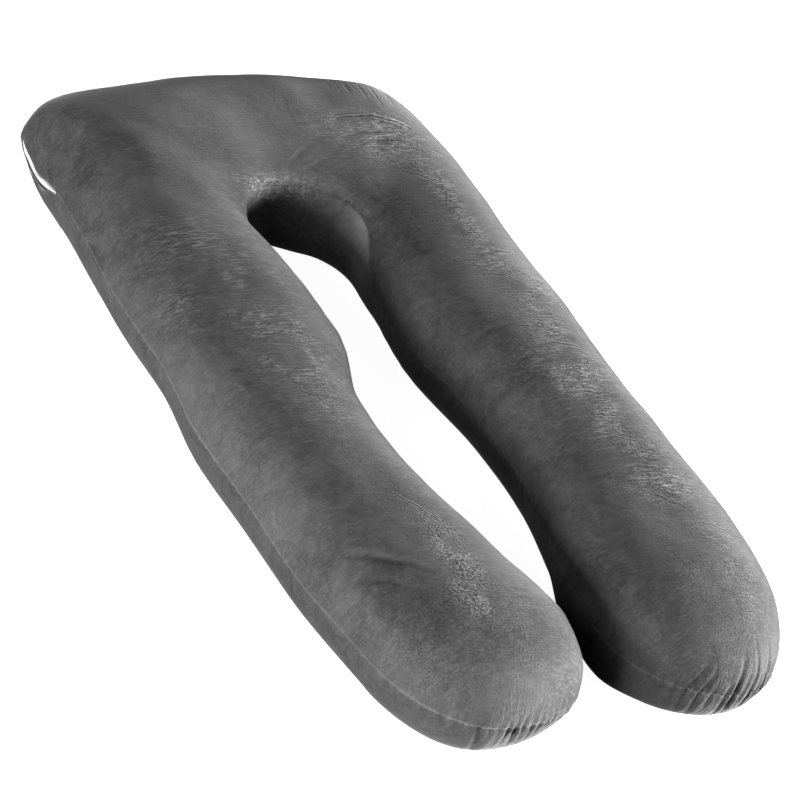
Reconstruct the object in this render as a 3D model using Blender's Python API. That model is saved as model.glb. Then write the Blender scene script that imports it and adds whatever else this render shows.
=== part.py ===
"""A U-shaped body pillow that lies on its back, legs toward -Y and head end toward +Y.

The pillow is one filled form with a sewn seam round its middle height. Every point of the seam
has a rib: the upper rib climbs from the seam to the crest line, and the lower rib curls under to
the flat patch that the pillow rests on. Sections along the U say where seam and crest run.
"""

import math
from collections import namedtuple

import bpy
import numpy as np

MM = 0.001

# ---- driving dimensions, in metres ----
SEAM_HEIGHT = 0.089          # of the sewn seam above the surface underneath
ELLIPSE = 2.0                # power of a rib that is part of an ellipse; more is squarer
TOP_FULLNESS = 2.37          # power of the upper ribs
RIGHT_INSIDE_FULLNESS = 2.9  # of the right leg's inner side
NECK_LIFT = 62 * MM          # how far the seam climbs to run along the neck hole's edge
NECK_LOWER_FULLNESS = 3.6    # power of the lower ribs there, where the wall stands steep
NECK_LEFT_Y = (0.20, 0.35)   # where the climb starts and ends on the left side
NECK_RIGHT_Y = (0.19, 0.36)  # and on the right side
BELLY_FULLNESS = 3.4         # power of the lower ribs where the right leg's lower panel bellies out
BELLY_Y = (-0.47, -0.38)     # where the belly fades out up the leg
BELLY_END_Y = (-0.66, -0.58) # and where it gets less toward the leg's end
BELLY_END_SHARE = 0.45
CONTACT_START = 0.556        # share of a rib's length where the underside meets the floor
END_FULLNESS = 2.04          # power of the leg ends' outline
HOLLOW = 12 * MM             # how far the left leg's outline draws in on the inner side of its end
HOLLOW_Y = -0.615
HOLLOW_SPREAD = 0.052
GROOVE_DEPTH = 3.5 * MM      # how far the stitching draws the seam in
GROOVE_LIP = 5.0 * MM        # from the stitching up or down to the full outline
GROOVE_FLOOR = 0.8 * MM      # half the width of the groove's floor

# A row for each section across the tube, from a leg end to the head. The outer and inner points
# lie on the seam; crown is the crest's height; steps leads to the next row.
Section = namedtuple("Section", "outer_x outer_y inner_x inner_y crown steps")
LEFT_LEG = [
    Section(0.365, -0.551, 0.028, -0.551, 0.184, 5),
    Section(0.386, -0.406, 0.070, -0.406, 0.178, 5),
    Section(0.388, -0.249, 0.113, -0.249, 0.175, 5),
    Section(0.394, -0.092, 0.118, -0.092, 0.174, 5),
    Section(0.380, 0.044, 0.074, 0.044, 0.176, 5),
    Section(0.381, 0.211, 0.081, 0.208, 0.182, 9),
    Section(0.357, 0.481, 0.116, 0.284, 0.186, 13),
    Section(0.332, 0.625, 0.099, 0.345, 0.185, 6),
    Section(0.185, 0.668, 0.052, 0.382, 0.184, 6),
]
RIGHT_LEG = [
    Section(0.370, -0.529, 0.047, -0.529, 0.187, 5),
    Section(0.391, -0.406, 0.066, -0.406, 0.181, 5),
    Section(0.381, -0.249, 0.104, -0.249, 0.183, 5),
    Section(0.379, -0.092, 0.105, -0.092, 0.184, 5),
    Section(0.385, 0.064, 0.076, 0.064, 0.187, 5),
    Section(0.384, 0.211, 0.092, 0.211, 0.180, 6),
    Section(0.388, 0.477, 0.111, 0.295, 0.184, 6),
    Section(0.345, 0.654, 0.089, 0.339, 0.188, 6),
    Section(0.192, 0.698, 0.048, 0.364, 0.183, 6),
]
HEAD_MIDDLE = Section(0.0, 0.699, 0.0, 0.385, 0.180, 6)

# A leg end: how far it is rounded past its first section, and how far the seam sags, at an
# angle from the outer side, 0 degrees, round the end to the inner side, 180 degrees.
LegEnd = namedtuple("LegEnd", "reach sag sag_angle sag_spread")
LEFT_END = LegEnd(0.161, 12 * MM, 122, 18)
RIGHT_END = LegEnd(0.179, 4 * MM, 80, 35)
END_POINTS = 60              # seam points round a leg end
INNER_ANGLES = (100, 180)    # where a leg end turns from the outer side's rib to the inner one's

# Gathers, where surplus cloth is caught in the seam at a leg end. Each is a trough across the
# seam. climb and drop are its lengths up the upper panel and down the lower one; lean is how far
# it moves along the seam, toward the inner side, for each metre of height.
Gather = namedtuple("Gather", "angle width depth climb drop lean")
LEFT_GATHERS = [
    Gather(30, 11 * MM, 1.6 * MM, 0.020, 0.030, 0.2),
    Gather(52, 10 * MM, 2.0 * MM, 0.018, 0.040, 0.1),
    Gather(68, 9 * MM, 4.2 * MM, 0.022, 0.060, 0.1),
    Gather(84, 9 * MM, 3.4 * MM, 0.024, 0.055, 0.0),
    Gather(91, 8 * MM, 5.0 * MM, 0.030, 0.060, 0.0),
    Gather(100, 9 * MM, 3.4 * MM, 0.040, 0.055, 0.1),
    Gather(109, 9 * MM, 3.0 * MM, 0.050, 0.045, 0.2),
    Gather(119, 8 * MM, 4.2 * MM, 0.080, 0.040, 0.3),
    Gather(128, 9 * MM, 3.2 * MM, 0.070, 0.035, 0.3),
    Gather(147, 11 * MM, 2.2 * MM, 0.040, 0.030, 0.2),
]
RIGHT_GATHERS = [
    Gather(34, 10 * MM, 2.8 * MM, 0.060, 0.040, -0.3),
    Gather(47, 9 * MM, 3.4 * MM, 0.075, 0.045, -0.4),
    Gather(58, 8 * MM, 3.8 * MM, 0.080, 0.050, -0.4),
    Gather(70, 8 * MM, 4.4 * MM, 0.085, 0.050, -0.5),
    Gather(80, 9 * MM, 4.8 * MM, 0.090, 0.055, -0.5),
    Gather(91, 8 * MM, 5.2 * MM, 0.085, 0.060, -0.5),
    Gather(99, 8 * MM, 3.8 * MM, 0.070, 0.055, -0.5),
    Gather(110, 9 * MM, 4.4 * MM, 0.075, 0.055, -0.5),
    Gather(118, 8 * MM, 4.4 * MM, 0.080, 0.050, -0.5),
    Gather(136, 11 * MM, 2.0 * MM, 0.030, 0.040, -0.2),
]

# The opening in the left side seam near the head, where the inner pillow's casing shows.
SLIT_START_Y = 0.468
SLIT_END_Y = 0.606
SLIT_OUTSIDE_X = -0.30       # the opening is in the seam beyond this
SLIT_HALF_WIDTH = 6.5 * MM   # at its two widest places
SLIT_PINCH = 0.52            # share of its length where the edges come together
SLIT_PINCH_SPREAD = 0.10
SLIT_PINCH_CLOSES = 0.62     # share of the width taken away there
SLIT_SAG = 31 * MM           # how far the seam sags along it
SLIT_SAG_Y = 0.54
SLIT_SAG_SPREAD = 0.072
SLIT_DEPTH = 12 * MM
SLIT_FLARE = 1.6 * MM        # the edges roll outward from the opening
SLIT_FULL_FROM = 0.5         # share of the greatest width from which depth and flare are full
CASING_GAP = 0.6 * MM        # clear of the cover on every side
CASING_INSET = 1.2 * MM      # from the cover's outline back to the casing's front
CASING_WAIST = 0.92          # half heights halfway out and at the front, as shares of the back's
CASING_FRONT = 0.5
CASING_MIN_HALF = 1.6 * MM   # the casing ends where the opening gets narrower than this

# ---- how finely the ribs are stepped ----
UPPER_STEPS = 8
LOWER_ANGLES = (14, 31, 50, 70, 90)   # degrees from the seam round to the floor

# ---- materials ----
VELVET_GREY = (0.085, 0.086, 0.088)
VELVET_ROUGHNESS = 0.85
CASING_WHITE = (0.82, 0.82, 0.80)
CASING_ROUGHNESS = 0.80


def clear_scene():
    for obj in list(bpy.data.objects):
        bpy.data.objects.remove(obj, do_unlink=True)


def fabric(name, colour, roughness):
    material = bpy.data.materials.new(name)
    material.use_nodes = True
    shader = material.node_tree.nodes["Principled BSDF"]
    shader.inputs["Base Color"].default_value = (*colour, 1.0)
    shader.inputs["Roughness"].default_value = roughness
    shader.inputs["Metallic"].default_value = 0.0
    return material


def smooth(value, low, high):
    """0 below low, 1 above high and a smooth rise between them."""
    t = np.clip((value - low) / (high - low), 0, 1)
    return t * t * (3 - 2 * t)


# ---- the seam in plan ----


def spline_through(rows, steps):
    """A smooth curve through rows of numbers, with the given steps from each row to the next."""
    rows = np.asarray(rows, float)
    padded = np.vstack([2 * rows[0] - rows[1], rows, 2 * rows[-1] - rows[-2]])
    points = []
    for k, count in enumerate(steps):
        before, start, end, after = padded[k : k + 4]
        for t in np.arange(count) / count:
            points.append(
                0.5 * (2 * start + (end - before) * t
                       + (2 * before - 5 * start + 4 * end - after) * t**2
                       + (3 * start - before - 3 * end + after) * t**3)
            )
    points.append(rows[-1])
    return np.array(points)


def mirrored(section):
    return section._replace(outer_x=-section.outer_x, inner_x=-section.inner_x)


def along_the_u():
    """Outer seam, inner seam and crown, from the left leg end over the head to the right one."""
    sections = [mirrored(s) for s in LEFT_LEG] + [HEAD_MIDDLE] + RIGHT_LEG[::-1]
    steps = [s.steps for s in LEFT_LEG] + [s.steps for s in RIGHT_LEG[::-1]]
    curve = spline_through([s[:5] for s in sections], steps)
    return curve[:, 0:2], curve[:, 2:4], curve[:, 4]


def side_slope(side):
    """How far a side leans over in x for each metre of y, where it meets the leg end."""
    along = side[1] - side[0]
    return along[0] / along[1]


def round_end(outer, inner, reach):
    """Seam points round a leg end, from the outer side to the inner one, and their angles.

    outer and inner are the two sides' points, the nearest to the end first. The outline leaves
    each side in that side's own direction.
    """
    middle = (outer[0] + inner[0]) / 2
    half_width = (outer[0] - inner[0]) / 2
    angles = np.linspace(0, 180, END_POINTS + 2)[1:-1]
    across = np.cos(np.radians(angles))
    lean = np.where(across > 0, side_slope(outer), side_slope(inner)) * across**2
    across = np.sign(across) * np.abs(across) ** (2 / END_FULLNESS)
    toward_end = -reach * np.sin(np.radians(angles)) ** (2 / END_FULLNESS)
    points = middle + half_width * across[:, None]
    points[:, 0] += lean * toward_end
    points[:, 1] += toward_end
    return points, angles


def left_hollow(seam, leg_middle):
    """How far the left leg's inner side draws in at each seam point."""
    x, y = seam.T
    on_inner_side = smooth(x - leg_middle, 0, 0.06) * (x < 0)
    return HOLLOW * on_inner_side * np.exp(-(((y - HOLLOW_Y) / HOLLOW_SPREAD) ** 2))


def seam_loop():
    """The closed seam, clockwise from above, with what each of its points belongs to.

    crest and crown are the top of the point's rib, and spine is the crest point's number. end is
    -1 round the left leg end, 1 round the right one and 0 elsewhere, and angle the place there.
    inside is 1 on the U's inner side and 0 on its outer side.
    """
    outer, inner, crown = along_the_u()
    crest = (outer + inner) / 2
    last = len(outer) - 1
    left_points, angles = round_end(outer, inner, LEFT_END.reach)
    right_points, _ = round_end(outer[::-1], inner[::-1], RIGHT_END.reach)
    up_the_u = np.arange(last + 1)
    spine = np.concatenate([
        up_the_u,
        np.full(END_POINTS, last),
        up_the_u[::-1],
        np.full(END_POINTS, 0),
    ])
    sides = np.zeros(last + 1)
    ends = np.ones(END_POINTS)
    inside = smooth(angles, *INNER_ANGLES)
    seam = np.vstack([outer, right_points, inner[::-1], left_points[::-1]])
    centre = (seam.min(axis=0) + seam.max(axis=0)) / 2
    seam[:, 0] -= left_hollow(seam, crest[0][0])
    return {
        "seam": seam - centre,
        "crest_line": crest - centre,
        "crown_line": crown,
        "crest": (crest - centre)[spine],
        "crown": crown[spine],
        "spine": spine,
        "end": np.concatenate([sides, ends, sides, -ends]),
        "angle": np.concatenate([sides, angles, sides, angles[::-1]]),
        "inside": np.concatenate([sides, inside, sides + 1, inside[::-1]]),
    }


# ---- the ribs ----


def neck_share(loop):
    """How much each seam point belongs to the neck hole's edge, from 0 to 1."""
    x, y = loop["seam"].T
    return loop["inside"] * np.where(x > 0, smooth(y, *NECK_RIGHT_Y), smooth(y, *NECK_LEFT_Y))


def seam_heights(loop):
    heights = SEAM_HEIGHT + NECK_LIFT * neck_share(loop)
    for which, end in ((-1, LEFT_END), (1, RIGHT_END)):
        here = loop["end"] == which
        bell = np.exp(-(((loop["angle"][here] - end.sag_angle) / end.sag_spread) ** 2))
        heights[here] -= end.sag * bell
    x, y = loop["seam"].T
    bell = np.exp(-(((y - SLIT_SAG_Y) / SLIT_SAG_SPREAD) ** 2))
    return heights - SLIT_SAG * bell * smooth(-x, 0.0, 0.2)


def slit_half_width(loop):
    """Half the opening's width at each seam point: two leaf shapes joined by a pinch."""
    x, y = loop["seam"].T
    t = (y - SLIT_START_Y) / (SLIT_END_Y - SLIT_START_Y)
    inside = (t > 0) & (t < 1) & (x < SLIT_OUTSIDE_X)
    leaf = np.sqrt(np.sin(math.pi * np.clip(t, 0, 1)))
    pinch = 1 - SLIT_PINCH_CLOSES * np.exp(-(((t - SLIT_PINCH) / SLIT_PINCH_SPREAD) ** 2))
    return np.where(inside, SLIT_HALF_WIDTH * leaf * pinch, 0.0)


def seam_groove(loop):
    """The groove at each seam point, opened into a pocket along the slit."""
    half = slit_half_width(loop)
    opened = np.clip(half / SLIT_HALF_WIDTH / SLIT_FULL_FROM, 0, 1)
    lip = GROOVE_LIP + (half + SLIT_FLARE - GROOVE_LIP) * opened
    return {
        "half": half,
        "floor": GROOVE_FLOOR + half,
        "lip": np.maximum(lip, GROOVE_LIP),
        "depth": GROOVE_DEPTH + (SLIT_DEPTH - GROOVE_DEPTH) * opened,
    }


def belly_share(loop):
    """How much the lower panel bellies out at each seam point, by how far down the leg it is."""
    y = loop["seam"][:, 1]
    toward_end = 1 - smooth(y, *BELLY_END_Y)
    return (1 - smooth(y, *BELLY_Y)) * (1 - (1 - BELLY_END_SHARE) * toward_end)


def rib_fullness(loop):
    """The power of the upper rib and of the lower one at each seam point."""
    right_inside = loop["inside"] * (loop["seam"][:, 0] > 0)
    upper = TOP_FULLNESS + (RIGHT_INSIDE_FULLNESS - TOP_FULLNESS) * right_inside
    lower = ELLIPSE + (NECK_LOWER_FULLNESS - ELLIPSE) * neck_share(loop)
    lower += (BELLY_FULLNESS - ELLIPSE) * right_inside * belly_share(loop)
    return upper, lower


def rib_rows(loop, heights, groove, length):
    """(inset from the seam, height) of each row of points, from the floor up to near the crest."""
    upper, lower = rib_fullness(loop)
    rows = []
    for degrees in LOWER_ANGLES[::-1]:
        a = math.radians(degrees)
        inset = CONTACT_START * length * (1 - math.cos(a) ** (2 / lower))
        rows.append((inset, heights * (1 - math.sin(a) ** (2 / lower))))
    flush = np.zeros(len(length))
    rows.append((flush, heights - groove["lip"]))
    rows.append((groove["depth"], heights - groove["floor"]))
    rows.append((groove["depth"], heights + groove["floor"]))
    rows.append((flush, heights + groove["lip"]))
    for step in range(1, UPPER_STEPS):
        a = math.pi / 2 * step / UPPER_STEPS
        risen = math.sin(a) ** (2 / upper)
        inset = length * (1 - math.cos(a) ** (2 / upper))
        rows.append((inset, heights + (loop["crown"] - heights) * risen))
    return rows


def gather_depth(loop, rise):
    """How far the gathers press in the points that lie rise above, or below, the seam."""
    depth = np.zeros(len(rise))
    for which, end, gathers in ((-1, LEFT_END, LEFT_GATHERS), (1, RIGHT_END, RIGHT_GATHERS)):
        here = loop["end"] == which
        per_degree = math.radians(1) * end.reach
        for g in gathers:
            off_centre = (loop["angle"] - g.angle) * per_degree - g.lean * rise
            length = np.where(rise >= 0, g.climb, g.drop)
            fade = np.clip(1 - np.abs(rise) / length, 0, 1)
            depth += here * g.depth * np.exp(-((off_centre / g.width) ** 2)) * fade
    return depth


def make_grid(loop):
    """The pillow's points as rows of ribs, and what the casing needs to fit the slit."""
    heights = seam_heights(loop)
    groove = seam_groove(loop)
    rib = loop["crest"] - loop["seam"]
    length = np.linalg.norm(rib, axis=1)
    inward = rib / length[:, None]
    core = np.column_stack([loop["crest"], heights])
    grid = []
    for inset, z in rib_rows(loop, heights, groove, length):
        row = np.column_stack([loop["seam"] + inward * inset[:, None], z])
        outward = row - core
        outward /= np.linalg.norm(outward, axis=1)[:, None]
        press = gather_depth(loop, z - heights) * (z > 0)
        grid.append(row - outward * press[:, None])
    return grid, heights, groove, inward


# ---- the solids ----


def closed_mesh(name, points, faces, material):
    mesh = bpy.data.meshes.new(name)
    mesh.from_pydata([tuple(map(float, p)) for p in points], [], faces)
    mesh.materials.append(material)
    mesh.shade_smooth()
    obj = bpy.data.objects.new(name, mesh)
    bpy.context.scene.collection.objects.link(obj)
    return obj


def make_pillow(loop, grid, material):
    """Joins the ribs' rows, closes the top along the crest and the underside flat on the floor."""
    count = len(loop["seam"])
    points = [p for row in grid for p in row]
    floor_start = len(points)
    points += [(x, y, 0.0) for x, y in loop["crest_line"]]
    crest_start = len(points)
    points += [(x, y, z) for (x, y), z in zip(loop["crest_line"], loop["crown_line"])]

    faces = []
    for r in range(len(grid) - 1):
        low, high = r * count, (r + 1) * count
        for k in range(count):
            after = (k + 1) % count
            faces.append((low + k, high + k, high + after, low + after))
    top = (len(grid) - 1) * count
    for k in range(count):
        after = (k + 1) % count
        here, there = loop["spine"][k], loop["spine"][after]
        for row, middle, upper in ((top, crest_start, True), (0, floor_start, False)):
            ring = [row + k, middle + here, middle + there, row + after]
            if here == there:
                ring.pop(2)
            faces.append(ring if upper else ring[::-1])
    return closed_mesh("pillow", points, faces, material)


def casing_profile(depth, half):
    """(inset, height from the seam) round the casing's section, lower back corner first."""
    back = depth - CASING_GAP
    back_half = half + GROOVE_FLOOR - CASING_GAP
    middle = (back + CASING_INSET) / 2
    lower = [
        (back, -back_half),
        (middle, -CASING_WAIST * back_half),
        (CASING_INSET, -CASING_FRONT * back_half),
    ]
    return lower + [(inset, -up) for inset, up in lower[::-1]]


def make_casing(loop, heights, groove, inward, material):
    """The strip of the inner pillow's casing that fills the slit and bulges toward its mouth."""
    points = []
    rings = 0
    for k in np.flatnonzero(groove["half"] > CASING_MIN_HALF):
        profile = casing_profile(groove["depth"][k], groove["half"][k])
        for inset, up in profile:
            x, y = loop["seam"][k] + inward[k] * inset
            points.append((x, y, heights[k] + up))
        rings += 1
    sides = len(profile)
    faces = []
    for ring in range(rings - 1):
        for j in range(sides):
            a = ring * sides + j
            b = ring * sides + (j + 1) % sides
            faces.append((a, b, b + sides, a + sides))
    first = list(range(sides))
    last = [(rings - 1) * sides + j for j in first]
    faces += [first[::-1], last]
    return closed_mesh("inner_casing", points, faces, material)


def main():
    clear_scene()
    velvet = fabric("cover_velvet", VELVET_GREY, VELVET_ROUGHNESS)
    cotton = fabric("casing_cotton", CASING_WHITE, CASING_ROUGHNESS)
    loop = seam_loop()
    grid, heights, groove, inward = make_grid(loop)
    make_pillow(loop, grid, velvet)
    make_casing(loop, heights, groove, inward, cotton)


main()
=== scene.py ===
"""The looks of the U-shaped body pillow: its velvet cover with seam, gathers and creases, the white
casing that shows in the gap of the side seam, a pale studio floor, soft light and the camera.

The cover is made from the same sections as the CAD solid, on a grid: a column for each point round
the seam, and a row for each step up or down the ribs that run from the seam to the crest line.
"""

import math
from collections import namedtuple

import bpy
import numpy as np
from mathutils import Matrix, Vector


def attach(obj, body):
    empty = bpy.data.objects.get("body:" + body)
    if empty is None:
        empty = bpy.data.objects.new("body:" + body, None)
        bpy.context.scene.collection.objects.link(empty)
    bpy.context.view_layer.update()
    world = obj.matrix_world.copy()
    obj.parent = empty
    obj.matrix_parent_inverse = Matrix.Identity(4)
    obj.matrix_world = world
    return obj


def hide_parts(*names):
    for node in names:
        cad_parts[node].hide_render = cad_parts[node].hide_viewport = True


MM = 0.001
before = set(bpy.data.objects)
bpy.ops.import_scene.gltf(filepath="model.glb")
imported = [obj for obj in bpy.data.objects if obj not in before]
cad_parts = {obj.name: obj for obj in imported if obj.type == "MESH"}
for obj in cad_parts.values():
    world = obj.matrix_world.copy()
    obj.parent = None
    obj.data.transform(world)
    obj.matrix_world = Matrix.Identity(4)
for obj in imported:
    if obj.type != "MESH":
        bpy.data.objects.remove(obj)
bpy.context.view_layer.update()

# ---- the pillow's form, in metres, as in the CAD model ----
# A fullness is the power of a curve: 2 gives an ellipse, and more makes it squarer. A pair is the
# range over which a share grows from 0 to 1 or, where its name says bell, a middle and a spread.
ELLIPSE = 2
SEAM_HEIGHT = 0.089
TOP_FULLNESS = 2.37
RIGHT_INSIDE_FULLNESS = 2.9
HALVES_X = (-0.03, 0.03)     # where the left half's form turns into the right half's
NECK_LIFT = 0.062            # how far the seam rises round the neck hole
LEFT_NECK_Y = (0.20, 0.35)
RIGHT_NECK_Y = (0.19, 0.36)
NECK_LOWER_FULLNESS = 3.6
NECK_SWELL = 14 * MM         # how far the wall bulges below the seam on the neck hole's right
NECK_SWELL_X = (0.0, 0.07)
NECK_SWELL_POWER = 0.7
BELLY_FULLNESS = 3.4         # where the right leg's lower panel bellies out on its inner side
BELLY_Y = (-0.47, -0.38)
BELLY_END_Y = (-0.66, -0.58)
BELLY_END_SHARE = 0.45
CONTACT_START = 0.556        # the share of a rib at which the underside leaves the floor
END_FULLNESS = 2.04          # of a leg end's outline
INNER_ANGLES = (100, 180)    # degrees round a leg end, from its outer side
END_BELL = (90, 48)          # round the middle of a leg end, in the same degrees
HOLLOW = 12 * MM             # how far the left leg's outline draws in on the inner side of its end
HOLLOW_BELL_Y = (-0.615, 0.052)
HOLLOW_X = (0, 0.06)         # from the leg's middle
FLOOR_FADE = (0, 0.03)       # the height over which folds and tucks fade in above the floor


def in_metres(kind, lengths, rows):
    """The rows of a table as tuples of a kind. The first few numbers of each are lengths in mm."""
    return [kind(*(mm / 1000 for mm in row[:lengths]), *row[lengths:]) for row in rows]


# Sections across the U: its outer and inner outline, the crest's height, and how many columns
# lead to the next section toward the middle of the head. The left leg's are mirrored.
Section = namedtuple("Section", "outer_x outer_y inner_x inner_y crown steps")
LEFT_LEG = in_metres(Section, 5, (
    (365, -551, 28, -551, 184, 32),
    (386, -406, 70, -406, 178, 34),
    (388, -249, 113, -249, 175, 34),
    (394, -92, 118, -92, 174, 30),
    (380, 44, 74, 44, 176, 36),
    (381, 211, 81, 208, 182, 54),
    (357, 481, 116, 284, 186, 34),
    (332, 625, 99, 345, 185, 32),
    (185, 668, 52, 382, 184, 36),
))
RIGHT_LEG = in_metres(Section, 5, (
    (370, -529, 47, -529, 187, 27),
    (391, -406, 66, -406, 181, 34),
    (381, -249, 104, -249, 183, 34),
    (379, -92, 105, -92, 184, 34),
    (385, 64, 76, 64, 187, 32),
    (384, 211, 92, 211, 180, 54),
    (388, 477, 111, 295, 184, 38),
    (345, 654, 89, 339, 188, 32),
    (192, 698, 48, 364, 183, 38),
))
HEAD_MIDDLE = Section(0.0, 0.699, 0.0, 0.385, 0.180, 0)

# How far a leg end reaches past its last section, and how far, where and how widely its seam sags.
LegEnd = namedtuple("LegEnd", "reach sag sag_angle sag_spread")
LEFT_END = LegEnd(0.161, 12 * MM, 122, 18)
RIGHT_END = LegEnd(0.179, 4 * MM, 80, 35)
FINENESS = 1.22              # scales the steps above
END_POINTS = 210             # columns round a leg end
UPPER_STEPS = 28             # steps from the seam's own rows to the crest
UPPER_START = 0.008          # how far up a rib they start
RIB_SAMPLES = 400
LOWER_STEPS = 9              # rows from the floor to the seam's own rows
LOWER_ANGLES = (90, 7)       # degrees round the lower rib, from the floor up

# ---- the seam: the two panels meet at an angle, and the stitching sinks in between them ----
SEAM_ROWS = (6.0, 4.0, 2.6, 1.5, 0.7)   # mm above and below the stitching
STITCH_DEPTH = 2.2 * MM
STITCH_WIDTH = 1.1 * MM
SEAM_PROUD = 3.0 * MM        # how far the seam stands out from the pillow's sides
END_PROUD_LOSS = 0.5         # the share of it that a leg end lacks
UPPER_TUCK = (2.5 * MM, 3.0 * MM)   # how far the upper panel draws in above it, and at a leg end
LOWER_TUCK = (5.0 * MM, 3.0 * MM)   # and the lower one below it
END_LOWER_FULLNESS = 2.45    # the lower panel bulges more at a leg end
TUCK_HEIGHT = 8.0 * MM

# The left corner of the head swells out beside the gap in its seam.
CORNER_X = (0.22, 0.32)      # to the left of the middle
CORNER_BELL_Y = (0.600, 0.040)
CORNER_SWELL = 8 * MM
CORNER_HEIGHT = 0.055
CORNER_DROP = 0.016          # how far below the seam the swelling fades
UNDER_GAP_BELL_Y = (0.575, 0.035)
UNDER_GAP_TUCK = 4 * MM      # of the lower panel, below the gap's upper part
UNDER_GAP_FALL = (0, 0.012)  # below the seam

# The gap in the left side seam near the head.
SLIT_START_Y = 0.468
SLIT_END_Y = 0.606
SLIT_OUTSIDE_X = -0.30
SLIT_HALF_WIDTH = 6.5 * MM
SLIT_PINCH_BELL = (0.52, 0.10)
SLIT_PINCH_CLOSES = 0.62
SLIT_SAG = 31 * MM
SLIT_SAG_BELL_Y = (0.54, 0.072)
SLIT_SAG_X = (0.0, 0.2)      # to the left of the middle
SLIT_FLARE = 2.56 * MM       # at the gap's mouth, on each side
SLIT_FULL_FROM = 0.5         # the share of the full half width from which the gap counts as open
GAP_DEPTH = 12 * MM
GAP_WALL_POWER = 1.5         # how the gap's walls curve toward its bottom
CASING_GAP = 0.6 * MM        # between the casing's back and the gap's bottom
CASING_INSET = -1.6 * MM     # the casing's front stands out past the seam
CASING_MIN_HALF = 1.6 * MM   # the gap's half width at the casing's ends
CASING_PLAY = 0.1 * MM       # between the casing and the gap's edges
CASING_STEPS = 14            # points round each of its sections
CASING_POWER = 0.7           # how round its front is
CASING_WRINKLE = 0.4 * MM
CASING_SOFTENED = (0.25, 0.5, 0.25)     # how neighbouring wrinkles blend
CASING_SEED = 31
CASING_BULGE = 4.5 * MM      # at the gap's upper end
CASING_BULGE_Y = (0.565, 0.585)

# A furrow's profile, by its width: how it falls off, and the raised shoulders on its sides.
FURROW_POWER = 1.5
SHOULDER = 0.28
SHOULDER_BELL = (1.9, math.sqrt(0.6))

# Gathers at the leg ends: where, in degrees round the end, how wide and deep, how far up and down,
# in mm, and how far they shift to the inner side per height, above the seam and below it.
Gather = namedtuple("Gather", "angle width depth climb drop lean sway")
LEFT_CLIMB_SHARE = 0.45      # how deep the left end's gathers are above the seam, per depth below it
LEFT_GATHERS = [Gather(*row) for row in (
    (32, 5, 0.8, 18, 30, 0, -0.2),
    (50, 4, 1, 14, 36, 0, -0.2),
    (60, 3.6, 1.2, 13, 36, 0, -0.2),
    (69, 4.6, 4.6, 16, 75, 0, -0.27),
    (74, 3, 2, 24, 40, 0, -0.25),
    (79, 2.8, 1.2, 12, 34, 0, -0.3),
    (84.5, 3, 3.4, 18, 66, 0.05, -0.3),
    (88.5, 3.2, 4.6, 28, 70, -0.05, -0.27),
    (93.5, 3, 3.8, 22, 70, -0.1, -0.27),
    (99, 3, 3.4, 30, 60, -0.1, -0.25),
    (104, 3, 3, 34, 56, -0.1, -0.22),
    (109, 3, 2.2, 62, 44, -0.12, -0.22),
    (113.5, 3.2, 3.2, 50, 52, -0.15, -0.2),
    (118, 3, 2.6, 40, 40, -0.15, -0.2),
    (123, 3.4, 3, 58, 40, -0.15, -0.2),
    (130, 3.6, 1.8, 44, 36, -0.1, -0.2),
    (142, 4.4, 1.3, 30, 30, 0, -0.2),
)]
RIGHT_GATHERS = [Gather(*row) for row in (
    (36, 3.8, 1.6, 40, 36, -0.2, 0.1),
    (46, 3.4, 1.8, 44, 38, -0.25, 0.1),
    (55, 3.2, 2.8, 58, 40, -0.3, 0.1),
    (62, 3.4, 3.8, 62, 44, -0.3, 0.1),
    (68, 3, 3, 52, 44, -0.3, 0.1),
    (73, 3.6, 4.8, 70, 50, -0.3, 0.1),
    (78, 2.8, 2.2, 30, 44, -0.25, 0.12),
    (82.5, 3, 3.2, 74, 56, -0.15, 0.15),
    (88, 2.8, 2.2, 40, 44, -0.1, 0.15),
    (93, 3.4, 4.8, 62, 60, -0.1, 0.15),
    (98, 2.8, 2.8, 22, 60, -0.2, 0.15),
    (106, 2.8, 1.6, 18, 30, -0.3, 0.12),
    (112, 3.2, 3.8, 44, 52, -0.35, 0.1),
    (118.5, 3.4, 4.4, 50, 56, -0.35, 0.1),
    (124, 2.8, 1.4, 20, 46, -0.35, 0.1),
    (138, 4.4, 1, 24, 34, -0.3, 0.1),
)]
# Small gathers in between, drawn at random from these ranges. The angle is added to a place's, and
# the lean and the sway to those of the end's first gather.
SMALL_GATHERS = Gather((-2, 2), (2.4, 3.8), (0.3, 1.1), (10, 34), (18, 50), (-0.2, 0.1), (-0.1, 0.1))
SMALL_GATHER_ANGLES = (24, 152, 5.5)    # from, to and step, in degrees
GATHER_SEED = 11
GATHER_WANDER = 0.032        # to the side, per height
GATHER_WAVES = 60            # in radians per metre of height
GATHER_WIDENS = 0.6          # toward its tips
GATHER_FADE_POWER = 0.8
SEAM_CROSSING = (-3 * MM, 2 * MM)
ELSEWHERE = -1000            # an angle that no gather comes near

# Puckers along the whole seam, drawn at random, in mm.
Pucker = namedtuple("Pucker", "width depth climb drop lean")
PUCKERS = Pucker((2.5, 6.0), (0.25, 1.1), (6, 20), (12, 42), (-0.35, 0.35))
PUCKER_SPACING = (9, 26)
PUCKER_SEED = 23
PUCKER_REACH = 0.05          # along the seam
PUCKER_WIDENS = 0.03         # the height over which it doubles its width

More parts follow.
